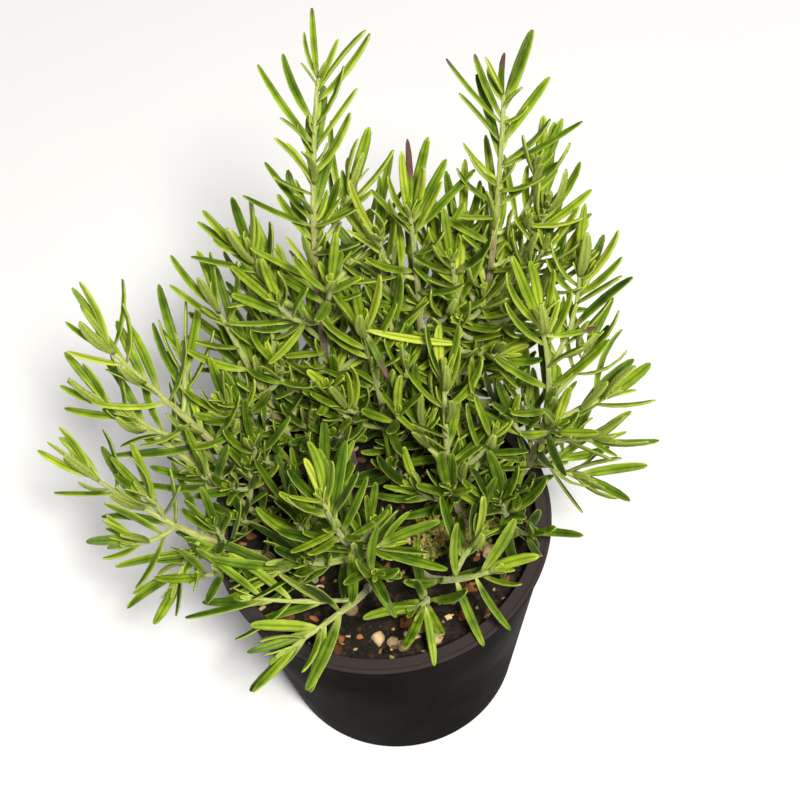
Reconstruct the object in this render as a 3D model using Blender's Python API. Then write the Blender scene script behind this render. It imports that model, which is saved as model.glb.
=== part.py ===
"""A rosemary plant in a round plastic nursery pot: metres, +Z up, origin at the centre of the pot's base.

The pot and the potting mix are turned about Z. Every stem stands in its own socket in the mix, and every
side shoot butts on the stem that carries it. A stem is a square, tapering tube, and its leaves grow out of
opposite sides of it in pairs, each pair a quarter turn on from the last, so a stem and its leaves are one solid.
"""

import math
import random

import bmesh
import bpy
import numpy as np
from mathutils import Matrix, Vector, noise

MM = 0.001
GAP = 0.3 * MM  # between solids that touch

# Pot
POT_HEIGHT = 110 * MM
RIM_RADIUS = 65 * MM
BASE_RADIUS = 48 * MM
WALL = 1.6 * MM
RIM_WIDTH = 6 * MM
RIM_THICKNESS = 2.6 * MM
RIM_OVERHANG = 1.2 * MM
FLOOR = 1.8 * MM
FOOT_WIDTH = 7 * MM
CENTRE_FOOT_RADIUS = 20 * MM
FOOT_HEIGHT = 2.5 * MM
DRAIN_HOLES = 12
DRAIN_RADIUS = 2.6 * MM
TURN_STEPS = 48

# Potting mix
HEADSPACE = 12 * MM  # from the rim down to the mix
CRUMB_HEIGHT = 1.4 * MM
CRUMB_SIZE = 9 * MM
SOIL_RINGS = 9
SOIL_STEPS = 36
ROOT_DEPTH = 6 * MM

# Plant
PLANT_HEIGHT = 200 * MM  # of the stems, above the mix
STEM_HALF_WIDTH = 1.5 * MM
SHOOT_HALF_WIDTH = 0.9 * MM
TIP_HALF_WIDTH = 0.55 * MM
RING_SPACING = 16 * MM  # between rings where a stem has no leaves
INTERNODE = 12.5 * MM
FIRST_INTERNODE = 3.5 * MM  # at the growing tip, from where they lengthen
INTERNODE_GROWTH = 1.8
LEAF_LENGTH = 25 * MM
LEAF_WIDTH = 3.3 * MM
LEAF_THICKNESS = 1.0 * MM
LEAF_CLEARANCE = 0.25 * MM
LEAF_WIDEST_AT = 0.46  # share of its length
LEAF_BOW = 0.07  # most that its middle hangs below its chord, as a share of its length
LEAF_LIFT = 0.18  # how much every leaf turns up to the light
SPREAD_AT_TIP = 22  # degrees between leaf and stem
SPREAD_AT_BASE = 72
BARE_SHARE = 0.25  # of a stem's length, from the mix up
MOST_BARE = 30 * MM
SHOOT_BARE = 3 * MM
SHOOT_LEAVING = 0.6  # how far a shoot leans along its stem as it leaves it; 0 is square to the stem
SHOOT_CURVE = 0.45  # how long it holds that direction, as a share of its reach
SHOOT_SAG = 0.04
CORNER_REACH = 1.45  # from a stem's centre line to its corner, in half widths, and a little more

WALL_TOP_RADIUS = RIM_RADIUS - RIM_OVERHANG
RIM_UNDERSIDE = POT_HEIGHT - RIM_THICKNESS
SOIL_TOP = POT_HEIGHT - HEADSPACE

# Stems: where each stands, the point it passes half way, and its tip. Places across are in hundredths
# of the rim's radius, heights in hundredths of the plant's height above the mix.
STEMS = {
    "tall_left": ((-12, 50), (-17, 58, 53), (0, 100, 96)),
    "tall_right": ((49, 46), (73, 51, 46), (91, 78, 94)),
    "middle": ((33, 62), (37, 56, 41), (37, 54, 76)),
    "centre_right": ((44, 28), (56, 47, 38), (56, 48, 64)),
    "right": ((74, 10), (98, 2, 31), (98, 14, 58)),
    "woody": ((14, 30), (10, 33, 26), (5, 37, 53)),
    "left_mid": ((-38, 38), (-55, 49, 28), (-74, 68, 53)),
    "left_low": ((-68, -8), (-111, -6, 15), (-163, 23, 26)),
    "left_high": ((-52, 20), (-94, 34, 28), (-138, 65, 46)),
    "left_long": ((-60, 4), (-104, 27, 22), (-146, 50, 35)),
    "viewer": ((-9, -16), (-20, -48, 25), (-29, -54, 46)),
    "right_front": ((18, -34), (33, -60, 14), (55, -74, 24)),
    "bottom": ((-14, -38), (-24, -66, 14), (-60, -92, 17)),
    "front_right": ((50, -4), (42, -6, 20), (45, 14, 46)),
    "small_right": ((72, -14), (72, -22, 11), (67, -27, 22)),
    "left_inner": ((-44, -24), (-40, -16, 12), (-28, -2, 26)),
    "front_low": ((14, -56), (20, -62, 9), (12, -76, 15)),
    "back_left": ((-34, 60), (-44, 88, 20), (-52, 112, 30)),
    "back_mid": ((6, 68), (8, 98, 16), (4, 118, 28)),
    "back_right": ((40, 64), (60, 90, 20), (82, 112, 32)),
}

# Shoots: the stem that carries each, how far up that stem it leaves, and its tip.
SHOOTS = [
    ("tall_left", 0.62, (9, 88, 71)),
    ("tall_left", 0.50, (22, 86, 59)),
    ("tall_left", 0.44, (-51, 76, 63)),
    ("tall_right", 0.70, (104, 65, 79)),
    ("tall_right", 0.62, (109, 58, 71)),
    ("tall_right", 0.54, (106, 50, 63)),
    ("tall_right", 0.46, (114, 46, 57)),
    ("tall_right", 0.50, (66, 70, 64)),
    ("middle", 0.72, (20, 58, 70)),
    ("middle", 0.56, (16, 66, 56)),
    ("middle", 0.60, (50, 66, 60)),
    ("centre_right", 0.62, (72, 44, 54)),
    ("centre_right", 0.48, (76, 28, 42)),
    ("right", 0.78, (122, 32, 63)),
    ("right", 0.62, (124, 14, 48)),
    ("right", 0.50, (134, 2, 37)),
    ("right", 0.38, (128, -6, 27)),
    ("right", 0.26, (116, -14, 18)),
    ("woody", 0.76, (20, 44, 51)),
    ("woody", 0.60, (26, 30, 42)),
    ("woody", 0.50, (-12, 26, 34)),
    ("left_mid", 0.60, (-46, 62, 46)),
    ("left_mid", 0.36, (-78, 38, 33)),
    ("left_high", 0.60, (-98, 66, 38)),
    ("left_long", 0.36, (-98, 10, 26)),
    ("left_low", 0.56, (-141, -16, 19)),
    ("left_low", 0.42, (-120, -34, 14)),
    ("left_low", 0.62, (-130, 2, 26)),
    ("viewer", 0.50, (-2, -56, 28)),
    ("viewer", 0.30, (-64, -36, 13)),
    ("right_front", 0.54, (52, -52, 24)),
    ("bottom", 0.42, (-76, -54, 14)),
    ("front_right", 0.60, (30, 8, 34)),
    ("front_right", 0.36, (64, 4, 26)),
    ("back_left", 0.55, (-72, 88, 28)),
    ("back_mid", 0.50, (-18, 104, 26)),
    ("back_mid", 0.56, (30, 106, 28)),
    ("back_right", 0.55, (98, 84, 30)),
]


def clear_scene():
    for obj in list(bpy.data.objects):
        bpy.data.objects.remove(obj, do_unlink=True)


def make_material(name, colour, roughness):
    material = bpy.data.materials.new(name)
    material.use_nodes = True
    surface = material.node_tree.nodes["Principled BSDF"]
    surface.inputs["Base Color"].default_value = (*colour, 1)
    surface.inputs["Roughness"].default_value = roughness
    return material


def add_object(name, mesh_data, material):
    mesh = bpy.data.meshes.new(name)
    mesh_data.to_mesh(mesh)
    mesh_data.free()
    mesh.materials.append(material)
    mesh.shade_smooth()
    mesh.set_sharp_from_angle(angle=math.radians(35))
    obj = bpy.data.objects.new(name, mesh)
    bpy.context.scene.collection.objects.link(obj)
    return obj


def cut(obj, cutters):
    """Cuts each helper out of the object, and hides the helpers."""
    for cutter in cutters:
        cutter.hide_render = True
        cutter.display_type = "WIRE"
        modifier = obj.modifiers.new(cutter.name, "BOOLEAN")
        modifier.operation = "DIFFERENCE"
        modifier.object = cutter
        modifier.solver = "EXACT"


# ---------------------------------------------------------------- pot


def wall_radius(z):
    """Outer radius of the pot's straight, tapering wall at a height."""
    return BASE_RADIUS + (WALL_TOP_RADIUS - BASE_RADIUS) * z / RIM_UNDERSIDE


def turned(profile, steps):
    """A closed solid turned about Z from a profile that runs from its lower pole to its upper pole."""
    shape = bmesh.new()
    rings = []
    for radius, z in profile:
        if radius == 0:
            rings.append([shape.verts.new((0, 0, z))] * steps)
            continue
        turns = [2 * math.pi * k / steps for k in range(steps)]
        rings.append([shape.verts.new((radius * math.cos(a), radius * math.sin(a), z)) for a in turns])
    for low, high in zip(rings, rings[1:]):
        for k in range(steps):
            corners = [low[k], low[(k + 1) % steps], high[(k + 1) % steps], high[k]]
            shape.faces.new(list(dict.fromkeys(corners)))
    bmesh.ops.recalc_face_normals(shape, faces=shape.faces)
    return shape


def make_pot(material):
    foot_slope = 2 * MM
    ring_inner = BASE_RADIUS - FOOT_WIDTH
    rim_inner = RIM_RADIUS - RIM_WIDTH
    edge = 0.6 * MM
    floor_top = FOOT_HEIGHT + FLOOR
    profile = [
        (0, 0),
        (CENTRE_FOOT_RADIUS, 0),
        (CENTRE_FOOT_RADIUS + foot_slope, FOOT_HEIGHT),
        (ring_inner - foot_slope, FOOT_HEIGHT),
        (ring_inner, 0),
        (BASE_RADIUS - edge, 0),
        (wall_radius(edge), edge),
        (WALL_TOP_RADIUS, RIM_UNDERSIDE),
        (RIM_RADIUS - edge, RIM_UNDERSIDE),
        (RIM_RADIUS, RIM_UNDERSIDE + edge),
        (RIM_RADIUS, POT_HEIGHT - edge),
        (RIM_RADIUS - edge, POT_HEIGHT),
        (rim_inner + edge, POT_HEIGHT),
        (rim_inner, POT_HEIGHT - edge),
        (rim_inner, RIM_UNDERSIDE),
        (WALL_TOP_RADIUS - WALL, RIM_UNDERSIDE - (WALL_TOP_RADIUS - WALL - rim_inner)),
        (wall_radius(floor_top) - WALL, floor_top),
        (0, floor_top),
    ]
    pot = add_object("pot", turned(profile, TURN_STEPS), material)
    between_feet = (CENTRE_FOOT_RADIUS + ring_inner) / 2
    cutters = []
    for k in range(DRAIN_HOLES):
        angle = 2 * math.pi * (k + 0.5) / DRAIN_HOLES
        place = Vector((between_feet * math.cos(angle), between_feet * math.sin(angle), floor_top / 2))
        hole = bmesh.new()
        bmesh.ops.create_cone(
            hole,
            cap_ends=True,
            segments=10,
            radius1=DRAIN_RADIUS,
            radius2=DRAIN_RADIUS,
            depth=3 * floor_top,
            matrix=Matrix.Translation(place),
        )
        cutters.append(add_object(f"drain_cutter_{k + 1:02d}", hole, material))
    cut(pot, cutters)


# ---------------------------------------------------------------- potting mix


def soil_radius(z):
    return wall_radius(z) - WALL - GAP


def make_soil(material, roots):
    """The mix fills the pot to below its rim; its top is crumbly, and each stem has a socket in it."""
    bottom = FOOT_HEIGHT + FLOOR + GAP
    edge = soil_radius(SOIL_TOP)
    shape = turned([(0, bottom), (soil_radius(bottom), bottom), (edge, SOIL_TOP), (0, SOIL_TOP)], SOIL_STEPS)
    top = [f for f in shape.faces if f.calc_center_median().z > SOIL_TOP - MM]
    bmesh.ops.delete(shape, geom=top, context="FACES_ONLY")
    shape.verts.ensure_lookup_table()
    bmesh.ops.delete(shape, geom=[v for v in shape.verts if not v.link_faces], context="VERTS")
    rim = sorted((v for v in shape.verts if v.co.z > SOIL_TOP - MM), key=lambda v: math.atan2(v.co.y, v.co.x))
    outer = rim
    for ring in range(SOIL_RINGS - 1, 0, -1):
        inner = []
        for v in rim:
            place = v.co * (ring / SOIL_RINGS)
            crumb = noise.noise(Vector((place.x, place.y, 0)) / CRUMB_SIZE)
            inner.append(shape.verts.new((place.x, place.y, SOIL_TOP + CRUMB_HEIGHT * crumb)))
        for k in range(SOIL_STEPS):
            following = (k + 1) % SOIL_STEPS
            shape.faces.new([outer[k], outer[following], inner[following], inner[k]])
        outer = inner
    centre = shape.verts.new((0, 0, SOIL_TOP))
    for k in range(SOIL_STEPS):
        shape.faces.new([outer[k], outer[(k + 1) % SOIL_STEPS], centre])
    bmesh.ops.recalc_face_normals(shape, faces=shape.faces)
    soil = add_object("soil", shape, material)
    cutters = []
    for name, root in roots.items():
        side = 2 * (STEM_HALF_WIDTH + GAP)
        height = ROOT_DEPTH + GAP + 3 * CRUMB_HEIGHT
        place = Vector((root.x, root.y, SOIL_TOP - ROOT_DEPTH - GAP + height / 2))
        socket = bmesh.new()
        bmesh.ops.create_cube(
            socket, size=1, matrix=Matrix.Translation(place) @ Matrix.Diagonal((side, side, height, 1))
        )
        cutters.append(add_object(f"socket_cutter_{name}", socket, material))
    cut(soil, cutters)


# ---------------------------------------------------------------- stems


def plant_point(across, back, up):
    """A place given in hundredths of the rim's radius and of the plant's height, in metres."""
    return Vector((across * RIM_RADIUS / 100, back * RIM_RADIUS / 100, SOIL_TOP + up * PLANT_HEIGHT / 100))


def bezier(start, control, end, share):
    rest = 1 - share
    return start * rest**2 + control * (2 * rest * share) + end * share**2


def tangent_at(path, share):
    start, control, end = path
    return ((control - start) * (1 - share) + (end - control) * share).normalized()


def path_length(path):
    points = [bezier(*path, k / 24) for k in range(25)]
    return sum((b - a).length for a, b in zip(points, points[1:]))


def half_width(kind, share):
    base = STEM_HALF_WIDTH if kind == "stem" else SHOOT_HALF_WIDTH
    return base + (TIP_HALF_WIDTH - base) * share**0.8


def stem_path(name):
    (across, back), middle, tip = STEMS[name]
    start = plant_point(across, back, 0) + Vector((0, 0, 3 * CRUMB_HEIGHT))
    end = plant_point(*tip)
    return start, plant_point(*middle) * 2 - (start + end) / 2, end


def shoot_path(carrier, share, tip):
    """A shoot leaves its stem's side, clear of it by the gap, and its end turns up."""
    on_stem = bezier(*carrier, share)
    along = tangent_at(carrier, share)
    end = plant_point(*tip)
    outward = end - on_stem
    outward = (outward - along * outward.dot(along)).normalized()
    leaving = (outward + along * SHOOT_LEAVING).normalized()
    start = on_stem + leaving * (CORNER_REACH * half_width("stem", share) + SHOOT_HALF_WIDTH + GAP)
    reach = (end - start).length
    return start, start + leaving * (reach * SHOOT_CURVE) - Vector((0, 0, reach * SHOOT_SAG)), end


def pair_shares(length, bare):
    """Where the leaf pairs stand along a stem, from its tip down to where it is bare."""
    from_tip, step = TIP_HALF_WIDTH * 3, FIRST_INTERNODE
    shares = []
    while from_tip < length - bare:
        shares.append(1 - from_tip / length)
        from_tip += step
        step = min(INTERNODE, step * INTERNODE_GROWTH)
    return shares[::-1]


class Sprig:
    """One stem or shoot: its path, its rings of four corners, and its leaf pairs."""

    def __init__(self, name, kind, path, bare, turn):
        self.name, self.kind, self.path, self.turn = name, kind, path, turn
        self.length = path_length(path)
        self.pairs = pair_shares(self.length, bare)
        self.leaves = {}

    def corners(self, share, offset=0.0):
        """The four corners of the stem's section, offset along the stem by a length."""
        along = tangent_at(self.path, share)
        side = Vector((math.cos(self.turn), math.sin(self.turn), 0))
        side = (side - along * side.dot(along)).normalized()
        other = along.cross(side)
        half = half_width(self.kind, share)
        centre = bezier(*self.path, share) + along * offset
        return [centre + (side * a + other * b) * half for a, b in ((1, -1), (1, 1), (-1, 1), (-1, -1))]

    def samples(self):
        """Balls along the stem, as (centre, radius), that the leaves of other stems keep clear of."""
        count = max(2, int(self.length / (2.5 * MM)))
        shares = [k / count for k in range(count + 1)]
        return [(bezier(*self.path, s), CORNER_REACH * half_width(self.kind, s)) for s in shares]


def leaf_shape(sprig, share, side, spread, swing, length, bow):
    """A leaf's base, middle and tip, its width direction and its upper direction."""
    along = tangent_at(sprig.path, share)
    corners = sprig.corners(share)
    first, second = corners[side], corners[(side + 1) % 4]
    base = (first + second) / 2
    across = (second - first).normalized()
    outward = across.cross(along)
    swung = Matrix.Rotation(math.radians(swing), 3, along) @ outward
    direction = along * math.cos(math.radians(spread)) + swung * math.sin(math.radians(spread))
    direction = (direction + Vector((0, 0, LEAF_LIFT))).normalized()
    across = (across - direction * across.dot(direction)).normalized()
    upper = direction.cross(across)
    middle = base + direction * (LEAF_WIDEST_AT * length) - upper * (bow * length)
    tip = base + direction * length
    return base, middle, tip, across, upper


def leaf_balls(shape):
    """Points along a leaf with the room that it needs there."""
    base, middle, tip = shape[:3]
    balls = []
    for k in range(1, 10):
        share = k / 9
        control = middle * 2 - (base + tip) / 2
        fullness = 1 - 1.6 * (share - LEAF_WIDEST_AT) ** 2
        balls.append((bezier(base, control, tip, share), LEAF_WIDTH / 2 * fullness + LEAF_CLEARANCE))
    return balls


def clear_of_pot(balls):
    """Whether every ball is above the mix, and inside or outside the pot's wall and rim."""
    for place, radius in balls:
        across = math.hypot(place.x, place.y)
        if place.z - radius > POT_HEIGHT:
            continue
        inner = min(RIM_RADIUS - RIM_WIDTH, wall_radius(place.z) - WALL) - radius
        outer = RIM_RADIUS + radius
        inside = across < inner and place.z - radius > SOIL_TOP + CRUMB_HEIGHT
        if not inside and across < outer:
            return False
    return True


class Room:
    """The balls already taken, each with the number of the sprig that it belongs to."""

    def __init__(self):
        self.centres, self.radii, self.owners = [], [], []

    def take(self, balls, owner):
        for place, radius in balls:
            self.centres.append(tuple(place))
            self.radii.append(radius)
            self.owners.append(owner)

    def is_free(self, balls, owner):
        """Other sprigs keep off the whole leaf; its own sprig's leaves keep off its outer half."""
        centres, radii = np.array(self.centres), np.array(self.radii)
        owners = np.array(self.owners)
        for number, (place, radius) in enumerate(balls):
            near = np.linalg.norm(centres - np.array(place), axis=1) < radii + radius
            if (near & (np.abs(owners) != owner)).any():
                return False
            if number > 4 and (near & (owners == -owner)).any():
                return False
        return True


def grow_leaves(sprigs):
    """Gives every pair its two leaves, and turns, lifts or shortens a leaf until it is clear of the rest."""
    room = Room()
    for number, sprig in enumerate(sprigs, 1):
        room.take(sprig.samples(), number)
    for number, sprig in enumerate(sprigs, 1):
        chance = random.Random(number)
        for pair, share in enumerate(sprig.pairs[::-1]):
            height = max(0.0, 1 - pair / 5)
            spread = SPREAD_AT_BASE + (SPREAD_AT_TIP - SPREAD_AT_BASE) * height + chance.uniform(-6, 6)
            young = 0.78 if pair == 0 else 1.0
            full = LEAF_LENGTH * young * chance.uniform(0.85, 1.12)
            bow = chance.uniform(0, LEAF_BOW)
            for side in (pair % 2, pair % 2 + 2):
                for size, swing, lift in (
                    (size, swing, lift)
                    for size in (1, 0.8, 0.6)
                    for lift in (0, -14, 14, -26, 26)
                    for swing in (0, 14, -14, 28, -28)
                ):
                    aim = min(110, max(14, spread + lift))
                    shape = leaf_shape(sprig, share, side, aim, swing, full * size, bow)
                    balls = leaf_balls(shape)
                    if clear_of_pot(balls) and room.is_free(balls, number):
                        room.take(balls, -number)
                        sprig.leaves[share, side] = shape
                        break


def add_leaf(shape, leaf, side, low, high):
    """Joins a leaf to the stem: from the side of the node band out to its widest part, then to its tip."""
    _, middle, tip, across, upper = leaf
    following = (side + 1) % 4
    root = [low[side], low[following], high[following], high[side]]
    half, thick = across * LEAF_WIDTH / 2, upper * LEAF_THICKNESS / 2
    places = (middle - half - thick, middle + half - thick, middle + half + thick, middle - half + thick)
    widest = [shape.verts.new(p) for p in places]
    end = shape.verts.new(tip)
    for k in range(4):
        turn = (k + 1) % 4
        shape.faces.new([root[k], root[turn], widest[turn], widest[k]])
        shape.faces.new([widest[k], widest[turn], end])


def rings_of(sprig):
    """The stem's rings from its foot up, each as (leaf pair's place or None, four corners)."""
    rings = []
    if sprig.kind == "stem":
        foot = bezier(*sprig.path, 0)
        square = [Vector((a, b, 0)) * STEM_HALF_WIDTH for a, b in ((1, -1), (1, 1), (-1, 1), (-1, -1))]
        rings.append((None, [Vector((foot.x, foot.y, SOIL_TOP - ROOT_DEPTH)) + corner for corner in square]))
    rings.append((None, sprig.corners(0)))
    below = 0
    for share in sprig.pairs:
        between = int((share - below) * sprig.length / RING_SPACING)
        for k in range(1, between + 1):
            rings.append((None, sprig.corners(below + (share - below) * k / (between + 1))))
        rings.append((share, sprig.corners(share, -LEAF_THICKNESS / 2)))
        rings.append((None, sprig.corners(share, LEAF_THICKNESS / 2)))
        below = share
    rings.append((None, sprig.corners(1)))
    return rings


def make_sprig(sprig, material):
    shape = bmesh.new()
    rings = [(pair, [shape.verts.new(p) for p in corners]) for pair, corners in rings_of(sprig)]
    for (pair, low), (_, high) in zip(rings, rings[1:]):
        for side in range(4):
            following = (side + 1) % 4
            if (pair, side) in sprig.leaves:
                add_leaf(shape, sprig.leaves[pair, side], side, low, high)
            else:
                shape.faces.new([low[side], low[following], high[following], high[side]])
    shape.faces.new(rings[0][1][::-1])
    shape.faces.new(rings[-1][1])
    bmesh.ops.recalc_face_normals(shape, faces=shape.faces)
    bmesh.ops.triangulate(shape, faces=shape.faces)
    return add_object(sprig.name, shape, material)


def main():
    clear_scene()
    bark = make_material("bark", (0.16, 0.11, 0.05), 0.8)
    green = make_material("rosemary_green", (0.13, 0.22, 0.03), 0.6)
    plastic = make_material("pot_plastic", (0.02, 0.018, 0.017), 0.45)
    mix = make_material("potting_mix", (0.03, 0.02, 0.012), 0.95)

    make_pot(plastic)
    paths = {name: stem_path(name) for name in STEMS}
    make_soil(mix, {name: path[0] for name, path in paths.items()})

    sprigs = []
    for name, path in paths.items():
        bare = min(BARE_SHARE * path_length(path), MOST_BARE)
        sprigs.append(Sprig(f"stem_{name}", "stem", path, bare, 0))
    for number, (carrier, share, tip) in enumerate(SHOOTS, 1):
        path = shoot_path(paths[carrier], share, tip)
        sprigs.append(Sprig(f"shoot_{number:02d}_{carrier}", "shoot", path, SHOOT_BARE, number))
    grow_leaves(sprigs)
    for sprig in sprigs:
        make_sprig(sprig, bark if sprig.kind == "stem" else green)


main()
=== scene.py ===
import math
import random

import bmesh
import bpy
from mathutils import Matrix, Quaternion, Vector, noise


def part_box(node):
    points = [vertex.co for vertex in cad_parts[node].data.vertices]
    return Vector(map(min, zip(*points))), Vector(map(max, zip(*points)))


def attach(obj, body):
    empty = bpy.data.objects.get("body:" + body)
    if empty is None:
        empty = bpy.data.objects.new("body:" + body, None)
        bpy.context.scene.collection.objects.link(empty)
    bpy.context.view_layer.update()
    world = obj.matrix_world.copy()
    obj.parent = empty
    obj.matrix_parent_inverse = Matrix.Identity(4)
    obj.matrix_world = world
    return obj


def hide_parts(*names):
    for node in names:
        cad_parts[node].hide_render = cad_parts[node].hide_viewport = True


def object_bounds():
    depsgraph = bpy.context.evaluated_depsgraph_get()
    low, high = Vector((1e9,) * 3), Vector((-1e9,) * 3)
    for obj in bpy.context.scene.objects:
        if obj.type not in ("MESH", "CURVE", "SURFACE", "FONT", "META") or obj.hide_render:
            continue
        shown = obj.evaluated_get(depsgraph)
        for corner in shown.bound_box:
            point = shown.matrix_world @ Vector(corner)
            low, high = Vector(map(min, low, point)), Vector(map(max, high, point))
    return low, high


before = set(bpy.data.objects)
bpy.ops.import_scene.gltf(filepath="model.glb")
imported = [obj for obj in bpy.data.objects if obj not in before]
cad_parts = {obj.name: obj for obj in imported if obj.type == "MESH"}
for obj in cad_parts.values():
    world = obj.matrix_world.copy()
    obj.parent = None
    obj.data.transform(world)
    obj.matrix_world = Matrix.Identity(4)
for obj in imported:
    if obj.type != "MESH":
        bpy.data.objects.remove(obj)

cad_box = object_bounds()
plant_top = cad_box[1].z

# ---------------------------------------------------------------- camera
# The plant is seen from above its open front: the camera looks steeply down on it, a little tilted,
# with a long lens.
camera_data = bpy.data.cameras.new("camera")
camera_data.lens = 93.9
camera_data.sensor_width = 36
camera = bpy.data.objects.new("camera", camera_data)
camera.location = (0, -0.3903, 0.8083)
looking = Vector((0.0169, 0.5346, -0.8449))
camera.rotation_mode = "QUATERNION"
camera.rotation_quaternion = looking.to_track_quat("-Z", "Y") @ Quaternion((0, 0, 1), math.radians(-6.74))
bpy.context.scene.collection.objects.link(camera)
bpy.context.scene.camera = camera

# ---------------------------------------------------------------- light and floor
# A lamp high in front on the right, a wide weak one on the left, a wide one behind, and a faint warm
# sky that is the same all round. The floor is a plain, matt, pale sheet that the pot stands on.


def add_lamp(name, place, aim, size, power, colour):
    """A round lamp that faces a place."""
    data = bpy.data.lights.new(name, "AREA")
    data.shape = "DISK"
    data.size = size
    data.energy = power
    data.color = colour
    lamp = bpy.data.objects.new(name, data)
    lamp.location = place
    lamp.rotation_mode = "QUATERNION"
    lamp.rotation_quaternion = (Vector(aim) - Vector(place)).to_track_quat("-Z", "Y")
    bpy.context.scene.collection.objects.link(lamp)


add_lamp("key_lamp", (0.20, -0.74, 1.52), (0, 0, 0.15), 0.26, 45, (1.0, 0.965, 0.84))
add_lamp("side_lamp", (-1.1, -0.3, 0.9), (0, 0, 0.15), 0.9, 2.5, (1.0, 0.98, 0.94))
add_lamp("back_lamp", (0.45, 1.25, 1.0), (0, 0, 0.12), 1.2, 7, (1.0, 0.98, 0.94))

sky = bpy.data.worlds.new("sky")
sky.use_nodes = True
sky.node_tree.nodes["Background"].inputs["Color"].default_value = (1.0, 0.985, 0.94, 1)
sky.node_tree.nodes["Background"].inputs["Strength"].default_value = 0.17
bpy.context.scene.world = sky
bpy.context.scene.view_settings.view_transform = "Standard"


def add_node(tree, kind, inputs=None, **settings):
    """Adds a node to a material or a geometry tree. An input is a value, or another node's output."""
    node = tree.nodes.new(kind)
    for name, value in settings.items():
        setattr(node, name, value)
    for socket, value in (inputs or {}).items():
        if isinstance(value, bpy.types.NodeSocket):
            tree.links.new(value, node.inputs[socket])
        else:
            node.inputs[socket].default_value = value
    return node


def noise_of(tree, place, scale, detail=2.0, roughness=0.5):
    """A noise texture's value at each place."""
    return add_node(tree, "ShaderNodeTexNoise", {"Vector": place, "Scale": scale, "Detail": detail,
                                                 "Roughness": roughness}).outputs["Fac"]


def ramp_of(tree, value, *stops):
    """A colour ramp through (position, colour) stops."""
    node = add_node(tree, "ShaderNodeValToRGB", {"Fac": value})
    for element, (position, colour) in zip(node.color_ramp.elements, (stops[0], stops[-1])):
        element.position = position
        element.color = (*colour, 1)
    for position, colour in stops[1:-1]:
        node.color_ramp.elements.new(position).color = (*colour, 1)
    return node.outputs["Color"]


def new_material(name, **constants):
    """A material with the values that are the same all over it, its shader, and Object coordinates."""
    material = bpy.data.materials.new(name)
    material.use_nodes = True
    tree = material.node_tree
    shader = tree.nodes["Principled BSDF"]
    for socket, value in constants.items():
        shader.inputs[socket.replace("_", " ")].default_value = value
    return material, tree, shader, add_node(tree, "ShaderNodeTexCoord").outputs["Object"]


def place_on(name, mesh):
    """Puts a mesh into the scene as an object of that name."""
    made = bpy.data.objects.new(name, mesh)
    bpy.context.scene.collection.objects.link(made)
    return made


floor_paint, tree, shader, place = new_material("floor_paint", Roughness=0.9)
tone = ramp_of(tree, noise_of(tree, place, 6.0, 3.0), (0, (0.66, 0.665, 0.72)), (1, (0.69, 0.695, 0.75)))
tree.links.new(tone, shader.inputs["Base Color"])

sheet = bmesh.new()
bmesh.ops.create_grid(sheet, x_segments=4, y_segments=4, size=4)
floor_mesh = bpy.data.meshes.new("floor")
sheet.to_mesh(floor_mesh)
sheet.free()
floor_mesh.materials.append(floor_paint)
floor = place_on("floor", floor_mesh)

# ---------------------------------------------------------------- pot
# A thin nursery pot, injection moulded in black polypropylene: a tapering wall, a flat rim with a small
# bead round its outer edge, a foot ring, and a circle of drain holes between the foot and the middle.
MM = 0.001
pot_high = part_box("pot")[1]
RIM_RADIUS = pot_high.x
POT_HEIGHT = pot_high.z
BASE_RADIUS = 48 * MM
WALL = 1.6 * MM
RIM_WIDTH = 6 * MM
RIM_THICKNESS = 2.6 * MM
RIM_OVERHANG = 1.2 * MM
BEAD_WIDTH = 1.3 * MM
BEAD_SLOPE = 0.5 * MM
BEAD_HEIGHT = 0.4 * MM
FLOOR_TOP = 4.3 * MM
MIDDLE_RADIUS = 20 * MM
FOOT_WIDTH = 7 * MM
FOOT_RISE = 2.5 * MM
FOOT_SLOPE = 2 * MM
DRAIN_HOLES = 12
DRAIN_RADIUS = 2.6 * MM
POT_STEPS = 160


def round_corner(before, corner, after, radius, steps=5):
    """The points of an arc that takes a profile round a corner."""
    before, corner, after = Vector(before), Vector(corner), Vector(after)
    one, other = (before - corner).normalized(), (after - corner).normalized()
    half = one.angle(other) / 2
    reach = min(radius / math.tan(half), (before - corner).length * 0.49, (after - corner).length * 0.49)
    start, end = corner + one * reach, corner + other * reach
    arc = []
    for k in range(steps + 1):
        share = k / steps
        arc.append(start * (1 - share) ** 2 + corner * 2 * share * (1 - share) + end * share**2)
    return arc


def turn_profile(profile, steps):
    """A closed mesh turned about Z from (radius, height) points that run from pole to pole."""
    shape = bmesh.new()
    rings = []
    for radius, height in profile:
        if radius < 1e-6:
            rings.append([shape.verts.new((0, 0, height))] * steps)
            continue
        turns = [2 * math.pi * k / steps for k in range(steps)]
        rings.append([shape.verts.new((radius * math.cos(a), radius * math.sin(a), height)) for a in turns])
    for low, high in zip(rings, rings[1:]):
        for k in range(steps):
            corners = [low[k], low[(k + 1) % steps], high[(k + 1) % steps], high[k]]
            shape.faces.new(list(dict.fromkeys(corners)))
    bmesh.ops.recalc_face_normals(shape, faces=shape.faces)
    return shape


rim_inner = RIM_RADIUS - RIM_WIDTH
rim_under = POT_HEIGHT - RIM_THICKNESS
rim_face = POT_HEIGHT - BEAD_HEIGHT
wall_top = RIM_RADIUS - RIM_OVERHANG
foot_inner = BASE_RADIUS - FOOT_WIDTH
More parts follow.
